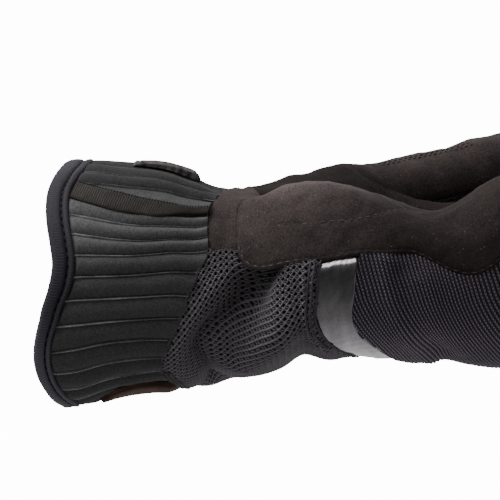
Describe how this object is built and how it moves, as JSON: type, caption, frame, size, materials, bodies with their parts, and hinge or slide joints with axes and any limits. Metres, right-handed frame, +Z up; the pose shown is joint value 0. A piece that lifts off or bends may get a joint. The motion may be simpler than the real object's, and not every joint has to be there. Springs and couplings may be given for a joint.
{
  "type": "summer motorcycle glove",
  "caption": "Left summer riding glove lying on its back, ribbed cuff with bound rim and strap, suede palm, mesh and knit back, reflective band, curled fingers.",
  "frame": {"origin": "under the middle of the glove, on the flat surface that it lies on", "axes": "+X from the cuff to the fingertips, +Y from the little finger to the thumb, +Z up out of the palm"},
  "size_m": [0.207, 0.125, 0.0977],
  "materials": {
    "binding": "folded twill tape, blue-black, matt",
    "neoprene": "charcoal neoprene faced with fine jersey, stitched into soft ribs",
    "tape": "warm grey woven tape with fine cross ribs",
    "strap": "black woven strap with stitched edges",
    "suede": "brown-black suede with a soft nap",
    "air_mesh": "thick black knitted mesh with diamond cells",
    "reflective": "smooth dark grey reflective film on a leather band",
    "knit": "black ribbed stretch knit"
  },
  "bodies": {
    "root": {"cuff_binding": "binding", "cuff_palm": "neoprene", "cuff_back": "neoprene", "seam_tape": "tape", "wrist_strap": "strap", "cuff_patch": "suede", "wrist_piece": "suede", "heel_panel": "suede", "palm_panel": "suede", "mesh_panel": "air_mesh", "reflective_band": "reflective", "back_panel": "knit", "little_front": "suede", "little_back": "knit", "ring_front": "suede", "ring_back": "knit", "middle_front": "suede", "middle_back": "knit", "index_front": "suede", "index_back": "knit", "thumb_front": "suede", "thumb_back": "knit"}
  },
  "joints": []
}
